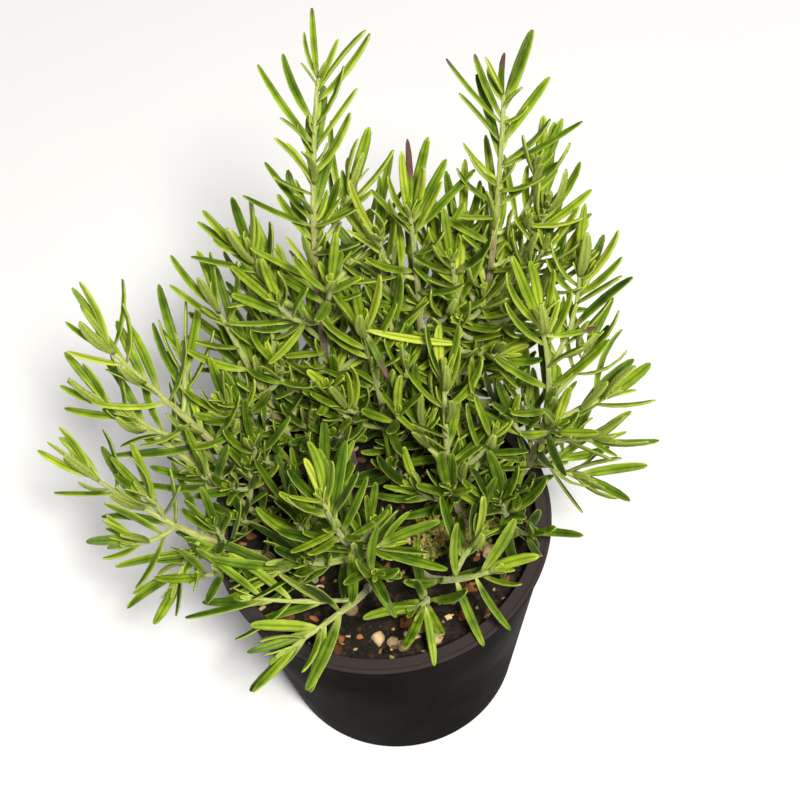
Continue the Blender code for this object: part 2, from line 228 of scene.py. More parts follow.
# Each corner of the profile, from the middle of the underside out, up and back in, and its rounding.
corners = [
    ((0, 0), 0),
    ((MIDDLE_RADIUS, 0), 0.5 * MM),
    ((MIDDLE_RADIUS + FOOT_SLOPE, FOOT_RISE), 0.5 * MM),
    ((foot_inner - FOOT_SLOPE, FOOT_RISE), 0.5 * MM),
    ((foot_inner, 0), 0.5 * MM),
    ((BASE_RADIUS, 0), 1.6 * MM),
    ((wall_top, rim_under), 0.4 * MM),
    ((RIM_RADIUS, rim_under), 0.7 * MM),
    ((RIM_RADIUS, POT_HEIGHT), 0.7 * MM),
    ((RIM_RADIUS - BEAD_WIDTH, POT_HEIGHT), 0.5 * MM),
    ((RIM_RADIUS - BEAD_WIDTH - BEAD_SLOPE, rim_face), 0.5 * MM),
    ((rim_inner, rim_face), 0.6 * MM),
    ((rim_inner - 0.1 * MM, rim_under - 0.4 * MM), 0.5 * MM),
    ((wall_top - WALL, rim_under - 3.6 * MM), 1.0 * MM),
    ((BASE_RADIUS + 0.7 * MM - WALL, FLOOR_TOP), 1.0 * MM),
    ((0, FLOOR_TOP), 0),
]
profile = []
for number, (corner, radius) in enumerate(corners):
    if radius:
        profile += round_corner(corners[number - 1][0], corner, corners[number + 1][0], radius)
    else:
        profile.append(Vector(corner))
pot_shell = bpy.data.meshes.new("pot_shell")
turned = turn_profile(profile, POT_STEPS)
turned.to_mesh(pot_shell)
turned.free()
pot_source = place_on("pot_shell", pot_shell)


def ranged(tree, value, start, end, low=0.0, high=1.0, smooth=False):
    """A value stretched from one range to another, and held at both ends."""
    return add_node(tree, "ShaderNodeMapRange", {
        "Value": value, "From Min": start, "From Max": end, "To Min": low, "To Max": high},
        interpolation_type="SMOOTHSTEP" if smooth else "LINEAR").outputs["Result"]


def mixed(tree, share, one, other):
    """The colour that lies between two others."""
    return add_node(tree, "ShaderNodeMix", {"Factor": share, "A": one, "B": other},
                    data_type="RGBA").outputs["Result"]


def worked_out(tree, operation, one, other):
    """One sum with two values."""
    return add_node(tree, "ShaderNodeMath", {0: one, 1: other}, operation=operation).outputs["Value"]


def scaled(tree, vector, share):
    """A colour or a direction times a value."""
    return add_node(tree, "ShaderNodeVectorMath", {0: vector, "Scale": share},
                    operation="SCALE").outputs["Vector"]


def emboss(tree, shader, height, strength, depth):
    """Gives a material fine relief."""
    relief = add_node(tree, "ShaderNodeBump", {"Height": height, "Strength": strength, "Distance": depth})
    tree.links.new(relief.outputs["Normal"], shader.inputs["Normal"])


# The wall has faint upright streaks that are partly a painted brownish reflection, the rim is painted greyer
# as a painted sheen on its flat top, and dust lies in patches on both.
polypropylene, tree, shader, place = new_material("black_polypropylene", Specular_IOR_Level=0.0035)
streak_place = add_node(tree, "ShaderNodeMapping", {"Vector": place, "Scale": (40, 40, 9)}).outputs["Vector"]
# Faint upright streaks: partly the plastic's own streaks, partly a painted brownish reflection on the wall.
wall_streaks_and_sheen = ramp_of(tree, noise_of(tree, streak_place, 1.0, 4.0, 0.6),
                    (0.35, (0.0022, 0.0017, 0.0012)), (0.7, (0.0068, 0.0044, 0.0028)))
height = add_node(tree, "ShaderNodeSeparateXYZ", {"Vector": place}).outputs["Z"]
# Painted sheen: the flat top of the rim is coloured greyer, standing in for light reflected off the black
# plastic.
rim_sheen_share = ranged(tree, height, POT_HEIGHT - 1.6 * MM, POT_HEIGHT - 0.5 * MM)
painted_rim_sheen = mixed(tree, rim_sheen_share, wall_streaks_and_sheen, (0.035, 0.028, 0.029, 1))
smear = noise_of(tree, place, 22.0, 3.0)
specks = ranged(tree, noise_of(tree, place, 260.0, 5.0, 0.7), 0.62, 0.78, 0.0, 0.35)
dusty = worked_out(tree, "MULTIPLY", specks, ranged(tree, smear, 0.45, 0.75))
tree.links.new(mixed(tree, dusty, painted_rim_sheen, (0.10, 0.085, 0.07, 1)), shader.inputs["Base Color"])
tree.links.new(ranged(tree, smear, 0.3, 0.7, 0.40, 0.56), shader.inputs["Roughness"])
emboss(tree, shader, noise_of(tree, place, 1400.0), 0.12, 0.15 * MM)


def new_tree(name, **inputs):
    """A geometry tree that takes a mesh and these named values, and its two end nodes."""
    tree = bpy.data.node_groups.new(name, "GeometryNodeTree")
    tree.interface.new_socket("Geometry", in_out="INPUT", socket_type="NodeSocketGeometry")
    for label, kind in inputs.items():
        tree.interface.new_socket(label.replace("_", " "), in_out="INPUT", socket_type="NodeSocket" + kind)
    tree.interface.new_socket("Geometry", in_out="OUTPUT", socket_type="NodeSocketGeometry")
    return tree, tree.nodes.new("NodeGroupInput"), tree.nodes.new("NodeGroupOutput")


def finish_tree(tree, geometry, material, outlet):
    """Ends a tree in real, smooth geometry with its material."""
    real = add_node(tree, "GeometryNodeRealizeInstances", {"Geometry": geometry})
    smooth = add_node(tree, "GeometryNodeSetShadeSmooth", {"Geometry": real.outputs["Geometry"]})
    coated = add_node(tree, "GeometryNodeSetMaterial", {"Geometry": smooth.outputs["Geometry"],
                                                        "Material": material})
    tree.links.new(coated.outputs["Geometry"], outlet.inputs["Geometry"])


def grow(name, source, tree, **values):
    """Runs a tree on an object, and gives back what it makes as a plain mesh object of that name."""
    modifier = source.modifiers.new("shape", "NODES")
    modifier.node_group = tree
    for item in tree.interface.items_tree:
        label = item.name.replace(" ", "_")
        if item.item_type == "SOCKET" and item.in_out == "INPUT" and label in values:
            modifier[item.identifier] = values[label]
    graph = bpy.context.evaluated_depsgraph_get()
    mesh = bpy.data.meshes.new_from_object(source.evaluated_get(graph))
    mesh.name = name
    source.modifiers.remove(modifier)
    return place_on(name, mesh)


drilling, inlet, outlet = new_tree("drain_holes", Holes="Int", Circle_radius="Float", Hole_radius="Float",
                                   Material="Material")
circle = add_node(drilling, "GeometryNodeMeshCircle", {"Vertices": inlet.outputs["Holes"],
                                                       "Radius": inlet.outputs["Circle radius"]})
punch = add_node(drilling, "GeometryNodeMeshCylinder", {
    "Vertices": 24, "Radius": inlet.outputs["Hole radius"], "Depth": 30 * MM})
punches = add_node(drilling, "GeometryNodeInstanceOnPoints", {"Points": circle.outputs["Mesh"],
                                                              "Instance": punch.outputs["Mesh"]})
solid_punches = add_node(drilling, "GeometryNodeRealizeInstances", {"Geometry": punches.outputs["Instances"]})
drilled = add_node(drilling, "GeometryNodeMeshBoolean", {"Mesh 1": inlet.outputs["Geometry"],
                                                         "Mesh 2": solid_punches.outputs["Geometry"]},
                   operation="DIFFERENCE", solver="EXACT")
finish_tree(drilling, drilled.outputs["Mesh"], inlet.outputs["Material"], outlet)
pot = grow("nursery_pot", pot_source, drilling, Holes=DRAIN_HOLES, Hole_radius=DRAIN_RADIUS,
           Circle_radius=(MIDDLE_RADIUS + foot_inner) / 2, Material=polypropylene)
bpy.data.objects.remove(pot_source)
pot.data.set_sharp_from_angle(angle=math.radians(50))
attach(pot, "root")
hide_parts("pot")

# ---------------------------------------------------------------- potting mix
# Damp dark peat and composted bark, filled to a finger's width below the rim. Its top is loose and
# crumbly and has settled a little along the wall, and its sides and bottom take the pot's shape.
soil_low, soil_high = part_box("soil")
SOIL_TOP = 98 * MM
SOIL_RADIUS = soil_high.x
SOIL_FOOT = BASE_RADIUS + 0.5 * MM - WALL - 0.3 * MM
SETTLED_FROM = 0.94
SETTLED_DEPTH = 1.2 * MM
SHOULDER_DEPTH = 2.5 * MM
SOIL_RINGS = 62
SOIL_STEPS = 180


def crumb_height(x, y):
    """How far the top of the mix stands above or below its level at a place."""
    broad = noise.noise(Vector((x, y, 0.3)) / (14 * MM))
    lumps = noise.noise(Vector((x, y, 1.7)) / (4.5 * MM))
    crumbs = noise.noise(Vector((x, y, 4.1)) / (1.9 * MM))
    return (0.9 * broad + 0.85 * lumps + 0.45 * crumbs) * MM


def soil_point(ring, step):
    """A point on the top of the mix."""
    radius = SOIL_RADIUS * ring / SOIL_RINGS
    angle = 2 * math.pi * step / SOIL_STEPS
    x, y = radius * math.cos(angle), radius * math.sin(angle)
    settled = max(0.0, (ring / SOIL_RINGS - SETTLED_FROM) / (1 - SETTLED_FROM)) * SETTLED_DEPTH
    return Vector((x, y, SOIL_TOP + crumb_height(x, y) - settled))


bed = bmesh.new()
centre = bed.verts.new((0, 0, SOIL_TOP + crumb_height(0, 0)))
soil_rings = [[centre] * SOIL_STEPS]
for ring in range(1, SOIL_RINGS + 1):
    soil_rings.append([bed.verts.new(soil_point(ring, step)) for step in range(SOIL_STEPS)])
shoulder = SOIL_TOP - SHOULDER_DEPTH
for share in (1.0, 0.75, 0.5, 0.25, 0.0):
    radius = SOIL_FOOT + (SOIL_RADIUS - SOIL_FOOT) * share
    height = soil_low.z + (shoulder - soil_low.z) * share
    turns = [2 * math.pi * k / SOIL_STEPS for k in range(SOIL_STEPS)]
    soil_rings.append([bed.verts.new((radius * math.cos(a), radius * math.sin(a), height)) for a in turns])
soil_rings.append([bed.verts.new((0, 0, soil_low.z))] * SOIL_STEPS)
for inner, outer in zip(soil_rings, soil_rings[1:]):
    for k in range(SOIL_STEPS):
        following = (k + 1) % SOIL_STEPS
        corners = [inner[k], outer[k], outer[following], inner[following]]
        bed.faces.new(list(dict.fromkeys(corners)))
bmesh.ops.recalc_face_normals(bed, faces=bed.faces)
bed_mesh = bpy.data.meshes.new("mix_bed")
bed.to_mesh(bed_mesh)
bed_mesh.shade_smooth()
sides = [f for f in bed.faces if f.calc_center_median().z <= shoulder + 0.1 * MM]
bmesh.ops.delete(bed, geom=sides, context="FACES")
top_mesh = bpy.data.meshes.new("mix_top")
bed.to_mesh(top_mesh)
bed.free()

peat, tree, shader, place = new_material("damp_peat", Roughness=0.93, Specular_IOR_Level=0.35)
fibres = noise_of(tree, place, 420.0, 6.0, 0.7)
cells = add_node(tree, "ShaderNodeTexVoronoi", {"Vector": place, "Scale": 520.0}).outputs["Distance"]
peat_tone = ramp_of(tree, fibres, (0.32, (0.003, 0.0022, 0.0015)), (0.72, (0.018, 0.011, 0.007)))
wetness = ranged(tree, noise_of(tree, place, 45.0, 3.0), 0.35, 0.65, 0.45, 1.2)
tree.links.new(scaled(tree, peat_tone, wetness), shader.inputs["Base Color"])
emboss(tree, shader, worked_out(tree, "ADD", fibres, cells), 0.8, 0.6 * MM)
bed_mesh.materials.append(peat)
mix_bed = place_on("mix_bed", bed_mesh)
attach(mix_bed, "root")
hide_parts("soil")

# ---------------------------------------------------------------- crumbs, bark, grit and moss
# Loose pieces on the mix: dark peat crumbs everywhere, chips of composted bark in orange and tan,
# pale grit and stones, and a yellow-green cushion of moss right of the middle.


def store(tree, geometry, name, value, kind="FLOAT", domain="POINT"):
    """Keeps a value on a geometry as a named attribute."""
    kept = add_node(tree, "GeometryNodeStoreNamedAttribute", {
        "Geometry": geometry, "Name": name, "Value": value}, data_type=kind, domain=domain)
    return kept.outputs["Geometry"]


def joined(tree, operation, one, other):
    """One sum with two vectors."""
    return add_node(tree, "ShaderNodeVectorMath", {0: one, 1: other}, operation=operation).outputs["Vector"]


def pushed(tree, geometry, offset):
    """Moves each point of a geometry by an offset."""
    return add_node(tree, "GeometryNodeSetPosition", {"Geometry": geometry,
                                                      "Offset": offset}).outputs["Geometry"]


scatter, inlet, outlet = new_tree("loose_pieces", Density="Float", Smallest="Float", Largest="Float",
                                  Width="Float", Thickness="Float", Ruggedness="Float", Lift="Float",
                                  Seed="Int", Material="Material")
given = inlet.outputs
spots = add_node(scatter, "GeometryNodeDistributePointsOnFaces", {
    "Mesh": given["Geometry"], "Density": given["Density"], "Seed": given["Seed"]})
lump = add_node(scatter, "GeometryNodeMeshIcoSphere", {"Radius": 0.5, "Subdivisions": 2})
size = add_node(scatter, "FunctionNodeRandomValue", {
    2: given["Smallest"], 3: given["Largest"], "Seed": given["Seed"]}, data_type="FLOAT")
sides = add_node(scatter, "ShaderNodeCombineXYZ", {"X": 1.0, "Y": given["Width"], "Z": given["Thickness"]})
spin = add_node(scatter, "FunctionNodeRandomValue", {
    0: (-0.5, -0.5, -3.14), 1: (0.5, 0.5, 3.14), "Seed": given["Seed"]}, data_type="FLOAT_VECTOR")
turn = add_node(scatter, "FunctionNodeEulerToRotation", {"Euler": spin.outputs["Value"]})
laid = add_node(scatter, "GeometryNodeInstanceOnPoints", {
    "Points": spots.outputs["Points"], "Instance": lump.outputs["Mesh"], "Rotation": turn.outputs["Rotation"],
    "Scale": scaled(scatter, sides.outputs["Vector"], size.outputs[1])})
shade = add_node(scatter, "FunctionNodeRandomValue", {"Seed": 77}, data_type="FLOAT")
shaded = store(scatter, laid.outputs["Instances"], "shade", shade.outputs[1], domain="INSTANCE")
loose = add_node(scatter, "GeometryNodeRealizeInstances", {"Geometry": shaded})
where = add_node(scatter, "GeometryNodeInputPosition")
rough = add_node(scatter, "ShaderNodeTexNoise", {"Vector": where.outputs["Position"], "Scale": 420.0,
                                                 "Detail": 1.0})
centred = joined(scatter, "SUBTRACT", rough.outputs["Color"], (0.5, 0.5, 0.5))
lift = add_node(scatter, "ShaderNodeCombineXYZ", {"Z": given["Lift"]})
moved = joined(scatter, "ADD", scaled(scatter, centred, given["Ruggedness"]), lift.outputs["Vector"])
finish_tree(scatter, pushed(scatter, loose.outputs["Geometry"], moved), given["Material"], outlet)


def loose_material(name, dark, light, roughness, scale, relief_depth):
    """Two tones that vary from piece to piece and over each piece, with a rough surface."""
    material, tree, shader, place = new_material(name, Roughness=roughness, Specular_IOR_Level=0.3)
    each = add_node(tree, "ShaderNodeAttribute", attribute_name="shade").outputs["Fac"]
    spread = noise_of(tree, place, scale, 5.0, 0.65)
    both = add_node(tree, "ShaderNodeMix", {"Factor": 0.5, "A": each, "B": spread}, data_type="FLOAT")
    tone = ramp_of(tree, both.outputs["Result"], (0.25, dark), (0.75, light))
    tree.links.new(tone, shader.inputs["Base Color"])
    emboss(tree, shader, spread, 0.7, relief_depth)
    return material


def scatter_pieces(name, source, material, **values):
    """Lays loose pieces on a surface, as one object."""
    pieces = grow(name, source, scatter, Material=material, **values)
    pieces.data.set_sharp_from_angle(angle=math.radians(48))
    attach(pieces, "root")
    return pieces


def spots_mesh(name, places):
    """A mesh of small three-sided faces, one where each chosen stone or chip lies."""
    shape = bmesh.new()
    for x, y in places:
        corner = Vector((x * MM, y * MM, SOIL_TOP + crumb_height(x * MM, y * MM) + 0.6 * MM))
        turns = (0, 2.1, 4.2)
        shape.faces.new([shape.verts.new(corner + Vector((math.cos(a), math.sin(a), 0)) * MM) for a in turns])
    mesh = bpy.data.meshes.new(name)
    shape.to_mesh(mesh)
    shape.free()
    return place_on(name, mesh)


top_source = place_on("mix_top", top_mesh)
crumb_brown = loose_material("crumb_brown", (0.0015, 0.0012, 0.001), (0.034, 0.020, 0.012), 0.92, 500.0,
                             0.4 * MM)
bark_orange = loose_material("bark_orange", (0.05, 0.018, 0.007), (0.33, 0.13, 0.045), 0.8, 350.0, 0.4 * MM)
bark_tan = loose_material("bark_tan", (0.16, 0.085, 0.035), (0.58, 0.42, 0.23), 0.85, 380.0, 0.3 * MM)
grit_pale = loose_material("grit_pale", (0.15, 0.10, 0.055), (0.52, 0.39, 0.23), 0.8, 450.0, 0.2 * MM)
moss_green = loose_material("moss_green", (0.09, 0.10, 0.015), (0.46, 0.42, 0.11), 0.95, 900.0, 0.5 * MM)
scatter_pieces("peat_crumbs", top_source, crumb_brown, Density=150000.0, Smallest=0.8 * MM, Largest=3.8 * MM,
               Width=0.8, Thickness=0.7, Ruggedness=0.9 * MM, Lift=0.15 * MM, Seed=3)
scatter_pieces("bark_crumbs", top_source, bark_tan, Density=13000.0, Smallest=1.0 * MM, Largest=3.6 * MM,
               Width=0.55, Thickness=0.4, Ruggedness=1.1 * MM, Lift=0.5 * MM, Seed=11)
scatter_pieces("bark_chips", top_source, bark_orange, Density=7000.0, Smallest=1.8 * MM, Largest=5.0 * MM,
               Width=0.6, Thickness=0.35, Ruggedness=1.8 * MM, Lift=0.7 * MM, Seed=23)
scatter_pieces("grit", top_source, grit_pale, Density=6500.0, Smallest=1.0 * MM, Largest=3.0 * MM,
               Width=0.8, Thickness=0.65, Ruggedness=0.9 * MM, Lift=0.4 * MM, Seed=31)

# Where single stones and chips lie, in mm.
PALE_STONES = [(-17, -31), (-3, -47), (-8, -45), (9, -43), (39, -15), (1, -49), (-42, 23), (14, -47)]
BARK_PIECES = [(-22, -43), (4, -40), (1, -34), (-52, 7), (-41, -30), (25, -41), (30, -30), (-25, -46)]
stone_spots = spots_mesh("stone_spots", PALE_STONES)
chip_spots = spots_mesh("chip_spots", BARK_PIECES)
scatter_pieces("pale_stones", stone_spots, grit_pale, Density=1100000.0, Smallest=4.5 * MM, Largest=7.5 * MM,
               Width=0.8, Thickness=0.6, Ruggedness=2.2 * MM, Lift=0.3 * MM, Seed=5)
scatter_pieces("bark_pieces", chip_spots, bark_orange, Density=800000.0, Smallest=5.0 * MM, Largest=8.5 * MM,
               Width=0.65, Thickness=0.4, Ruggedness=2.6 * MM, Lift=0.3 * MM, Seed=8)

patch = bmesh.new()
patch.from_mesh(top_mesh)
MOSS_CENTRE = (26 * MM, -2 * MM)
MOSS_REACH = (16 * MM, 13 * MM)
outside = []
for face in patch.faces:
    middle = face.calc_center_median()
    away = Vector([(at - centre) / reach for at, centre, reach in zip(middle, MOSS_CENTRE, MOSS_REACH)])
    if away.length > 1 + 0.5 * noise.noise(middle / (6 * MM)):
        outside.append(face)
bmesh.ops.delete(patch, geom=outside, context="FACES")
patch_mesh = bpy.data.meshes.new("moss_patch")
patch.to_mesh(patch_mesh)
patch.free()
patch_source = place_on("moss_patch", patch_mesh)
scatter_pieces("moss", patch_source, moss_green, Density=2200000.0, Smallest=0.8 * MM, Largest=2.4 * MM,
               Width=0.5, Thickness=0.9, Ruggedness=1.6 * MM, Lift=0.5 * MM, Seed=41)
for helper in (top_source, stone_spots, chip_spots, patch_source):
    bpy.data.objects.remove(helper)

# ---------------------------------------------------------------- stems
# Rosemary's stems are square when young, but these stalks are round; they are pale yellow-green under white
# down, and swollen where a pair of leaves stands; further down they turn brown and woody, with thin peeling
# bark. Side shoots grow out of them just above a leaf pair, and each stem is rooted in the mix.
NODE_FULLNESS = 1.35
GREEN_LENGTH = 20 * MM
AGEING_LENGTH = 88 * MM
SHORTEST_TIP_EDGE = 4.5 * MM


def in_order(corners):
    """Vertices sorted by where they are, so that each run adds them up alike."""
    return sorted(corners, key=lambda v: tuple(v.co))


def read_limb(node, carrier=None):
    """A grown stem's line, as (place, half width, is a leaf pair), from its foot up, and its leaves.

    A leaf's tip is a point whose edges are all long, and the ring that they end on is its widest part.
    """
    shape = bmesh.new()
    shape.from_mesh(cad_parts[node].data)
    bmesh.ops.remove_doubles(shape, verts=shape.verts, dist=0.01 * MM)
    tips = [v for v in shape.verts if min(e.calc_length() for e in v.link_edges) > SHORTEST_TIP_EDGE]
    widest = {tip: in_order(e.other_vert(tip) for e in tip.link_edges) for tip in tips}
    leafy = set(tips).union(*widest.values())
    woody = [v for v in shape.verts if v not in leafy]
    if carrier:
        woody.sort(key=lambda v: min((v.co - place).length for place in carrier))
    else:
        woody.sort(key=lambda v: v.co.z)
    rings, seen = [in_order(woody[:4])], set(woody[:4])
    while True:
        ahead = {e.other_vert(v) for v in rings[-1] for e in v.link_edges} - seen - leafy
        if not ahead:
            break
        rings.append(in_order(ahead))
        seen |= ahead
    centres = [sum((v.co for v in ring), Vector()) / len(ring) for ring in rings]
    number_of = {v: number for number, ring in enumerate(rings) for v in ring}
    leaves, paired = [], set()
    for tip, ring in widest.items():
        root = in_order({e.other_vert(v) for v in ring for e in v.link_edges} - leafy)
        base = sum((v.co for v in root), Vector()) / len(root)
        level = min(number_of[v] for v in root)
        paired |= {level, level + 1}
        middle = sum((v.co for v in ring), Vector()) / 4
        along = (centres[min(level + 2, len(centres) - 1)] - centres[max(level - 1, 0)]).normalized()
        leaves.append({"base": base, "middle": middle, "tip": tip.co.copy(), "along": along, "level": level})
    line = []
    for number, (ring, centre) in enumerate(zip(rings, centres)):
        half = sum((v.co - centre).length for v in ring) / len(ring) / math.sqrt(2)
        line.append((centre, half, number in paired))
    shape.free()
    return line, leaves


stem_names = sorted(n[5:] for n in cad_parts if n.startswith("stem_"))
# Each limb, a stem, a side shoot or a twig, has its stem's name, its line and its leaves.
limbs = {}
for name in stem_names:
    line, leaves = read_limb("stem_" + name)
    limbs["stem_" + name] = (name, line, leaves)
    dense = []
    for (a, _, _), (b, _, _) in zip(line, line[1:]):
        count = max(1, int((b - a).length / (2 * MM)))
        dense += [a.lerp(b, k / count) for k in range(count + 1)]
    for node in sorted(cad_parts):
        if node.startswith("shoot_") and node.split("_", 2)[2] == name:
            line, leaves = read_limb(node, dense)
            joint = min(dense, key=lambda place: (place - line[0][0]).length)
            line.insert(0, (joint.copy(), line[0][1], False))
            for leaf in leaves:
                leaf["level"] += 1
            limbs[node] = (name, line, leaves)

chance = random.Random(8)


def sprout(start, along, outward, length, half):
    """A short side twig that curves up from a stem, as a line and the leaf pairs that it may carry."""
    leaving = (outward + along * 0.6).normalized()
    end = start + (leaving * 0.8 + along * 0.2 + Vector((0, 0, 0.35))).normalized() * length
    control = start + leaving * length * 0.5
    steps = max(5, round(length / (3 * MM)))
    places = []
    for k in range(steps + 1):
        share = k / steps
        places.append(start * (1 - share) ** 2 + control * 2 * share * (1 - share) + end * share**2)
    line = [(place, half + (0.55 * MM - half) * k / steps, k > 1) for k, place in enumerate(places)]
    buds, from_tip, pair = [], 1.5 * MM, chance.randrange(2)
    while from_tip < length - 4 * MM:
        share = 1 - from_tip / length
        place = start * (1 - share) ** 2 + control * 2 * share * (1 - share) + end * share**2
        way = ((control - start) * (1 - share) + (end - control) * share).normalized()
        flank = way.orthogonal().normalized()
        flank.rotate(Matrix.Rotation(math.pi / 2 * pair + 0.6, 3, way))
        spread = 26 + 44 * min(1, from_tip / (18 * MM)) + chance.uniform(-6, 6)
        for side in (flank, -flank):
            buds.append((place + side * half * 0.8, way, side, spread))
        from_tip += 3.5 * MM + from_tip * 0.45
        pair += 1
    return line, buds


# Stems that carry many young twigs, as all the left ones do.
BUSY_STEMS = ("woody", "tall_left", "middle", "centre_right", "front_right")
TWIGGY_SHARE = 0.56
FIRST_TWIG = 6 * MM
FOOT_HEIGHT = 34 * MM


def side_buds(name, line):
    """Twigs up the lower part of a stem, and leaves down its bare foot."""
    run = [0.0]
    for (a, _, _), (b, _, _) in zip(line[1:], line[2:]):
        run.append(run[-1] + (b - a).length)
    busy = name.startswith("left") or name in BUSY_STEMS
    twigs, foot, place_at = [], [], FIRST_TWIG
    quarter = chance.uniform(0, 6.28)
    while place_at < run[-1] * TWIGGY_SHARE:
        number = max(k for k, length in enumerate(run) if length <= place_at)
        number = min(number, len(run) - 2)
        share = (place_at - run[number]) / max(1e-6, run[number + 1] - run[number])
        (low, half, _), (high, _, _) = line[number + 1], line[number + 2]
        centre, along = low.lerp(high, share), (high - low).normalized()
        side = along.orthogonal().normalized()
        side.rotate(Matrix.Rotation(quarter, 3, along))
        if place_at < FOOT_HEIGHT:
            foot += [(centre + out * half, along, out, chance.uniform(55, 85)) for out in (side, -side)]
        reach = chance.uniform(18, 34 if busy else 30) * MM
        if place_at > (7 if busy else 12) * MM:
            twigs.append(sprout(centre, along, side, reach, 0.8 * MM))
        quarter += 1.57 + chance.uniform(-0.5, 0.5)
        close = busy and place_at < 60 * MM
        place_at += chance.uniform(*((6.5, 10) if close else (9, 14))) * MM
    return twigs, foot


# The low front stems have no twigs, and elsewhere a twig is kept if its tip clears the mix and the rim.
BARE_STEMS = ("bottom", "front_low", "right_front")
bare_feet = {}
for name in stem_names:
    twigs, bare_feet[name] = side_buds(name, limbs["stem_" + name][1])
    if name in BARE_STEMS:
        twigs, bare_feet[name] = [], []
    for number, (line, buds) in enumerate(twigs):
        root, tip = line[0][0], line[-1][0]
        inside = math.hypot(tip.x, tip.y) < RIM_RADIUS - 10 * MM
        if name.startswith("left") and math.hypot(root.x, root.y) > RIM_RADIUS * 0.95:
            continue
        if tip.z > SOIL_TOP + 10 * MM and (inside or tip.z > POT_HEIGHT + 8 * MM):
            limbs[f"twig_{name}_{number}"] = (name, line, buds)


def read(tree, name, kind="FLOAT"):
    """The value of a named attribute, in a geometry tree."""
    return add_node(tree, "GeometryNodeInputNamedAttribute", {"Name": name},
                    data_type=kind).outputs["Attribute"]


# Green and downy at age 0, brown and fissured at age 1. The fissures run along the stem.
bark, tree, shader, place = new_material("rosemary_bark", Specular_IOR_Level=0.35, Sheen_Weight=0.25,
                                         Sheen_Roughness=0.5)
age = add_node(tree, "ShaderNodeAttribute", attribute_name="age").outputs["Fac"]
strand = add_node(tree, "ShaderNodeAttribute", attribute_name="bark_place").outputs["Vector"]
stretched = add_node(tree, "ShaderNodeMapping", {"Vector": strand, "Scale": (1, 1, 0.16)}).outputs["Vector"]
fissures = noise_of(tree, stretched, 1500.0, 4.0, 0.6)
wobble = ranged(tree, noise_of(tree, place, 160.0, 3.0), 0.0, 1.0, -0.35, 0.35)
stem_tone = ramp_of(tree, worked_out(tree, "ADD", age, wobble),
                    (0.0, (0.36, 0.43, 0.09)), (0.35, (0.38, 0.40, 0.10)), (0.6, (0.30, 0.235, 0.08)),
                    (0.8, (0.17, 0.10, 0.04)), (1.0, (0.095, 0.055, 0.028)))
fissured = scaled(tree, stem_tone, ranged(tree, fissures, 0.35, 0.7, 0.55, 1.2))
downy = ranged(tree, noise_of(tree, place, 1900.0), 0.52, 0.7, 0.0, 0.28)
tree.links.new(mixed(tree, downy, fissured, (0.72, 0.72, 0.58, 1)), shader.inputs["Base Color"])
tree.links.new(ranged(tree, age, 0.0, 1.0, 0.6, 0.9), shader.inputs["Roughness"])
emboss(tree, shader, fissures, 0.6, 0.4 * MM)

stalks, inlet, outlet = new_tree("stem_tubes", Spacing="Float", Sides="Int", Knobbliness="Float",
                                 Material="Material")
given = inlet.outputs
lines = add_node(stalks, "GeometryNodeMeshToCurve", {"Mesh": given["Geometry"]})
flowing = add_node(stalks, "GeometryNodeCurveSplineType", {"Curve": lines.outputs["Curve"]},
                   spline_type="CATMULL_ROM")
even = add_node(stalks, "GeometryNodeResampleCurve", {"Curve": flowing.outputs["Curve"],
                                                      "Length": given["Spacing"]}, mode="LENGTH")
reach = add_node(stalks, "GeometryNodeSplineParameter")
measured = store(stalks, even.outputs["Curve"], "run", reach.outputs["Length"])
ring_shape = add_node(stalks, "GeometryNodeCurvePrimitiveCircle", {"Resolution": given["Sides"],
                                                                   "Radius": 1.0})
spot = add_node(stalks, "GeometryNodeInputPosition").outputs["Position"]
on_ring = store(stalks, ring_shape.outputs["Curve"], "round", spot, "FLOAT_VECTOR")
tube = add_node(stalks, "GeometryNodeCurveToMesh", {
    "Curve": measured, "Profile Curve": on_ring, "Scale": read(stalks, "half_width"), "Fill Caps": True})
sideways = scaled(stalks, read(stalks, "round", "FLOAT_VECTOR"), 1.3 * MM)
upwards = add_node(stalks, "ShaderNodeCombineXYZ", {"Z": read(stalks, "run")})
bark_place = joined(stalks, "ADD", sideways, upwards.outputs["Vector"])
mapped = store(stalks, tube.outputs["Mesh"], "bark_place", bark_place, "FLOAT_VECTOR")
knob = worked_out(stalks, "SUBTRACT", noise_of(stalks, spot, 330.0), 0.5)
knob_size = worked_out(stalks, "MULTIPLY", knob, given["Knobbliness"])
outward = add_node(stalks, "GeometryNodeInputNormal").outputs["Normal"]
uneven = pushed(stalks, mapped, scaled(stalks, outward, knob_size))
finish_tree(stalks, uneven, given["Material"], outlet)


def lines_mesh(name, lines):
    """Edges along each line of (place, half width, age), with the widths and ages as attributes."""
    mesh = bpy.data.meshes.new(name)
    places, edges = [], []
    for line in lines:
        first = len(places)
        places += [tuple(place) for place, _, _ in line]
        edges += [(first + k, first + k + 1) for k in range(len(line) - 1)]
    mesh.from_pydata(places, edges, [])
    widths = mesh.attributes.new("half_width", "FLOAT", "POINT")
    widths.data.foreach_set("value", [half for line in lines for _, half, _ in line])
    ages = mesh.attributes.new("age", "FLOAT", "POINT")
    ages.data.foreach_set("value", [old for line in lines for _, _, old in line])
    return place_on(name, mesh)


def dressed_line(node):
    """A limb's line with its swollen leaf pairs, and how woody it is at each place."""
    _, line, _ = limbs[node]
    above = [0.0]
    for (a, _, _), (b, _, _) in zip(line[::-1], line[-2::-1]):
        above.append(above[-1] + (a - b).length)
    above.reverse()
    dressed = []
    for (place, half, pair), length in zip(line, above):
        old = min(1.0, max(0.0, (length - GREEN_LENGTH) / AGEING_LENGTH))
        full = NODE_FULLNESS if pair else 1.0
        taper = 0.75 if length == 0 else 1.0
        dressed.append((place, half * full * taper, old))
    return dressed


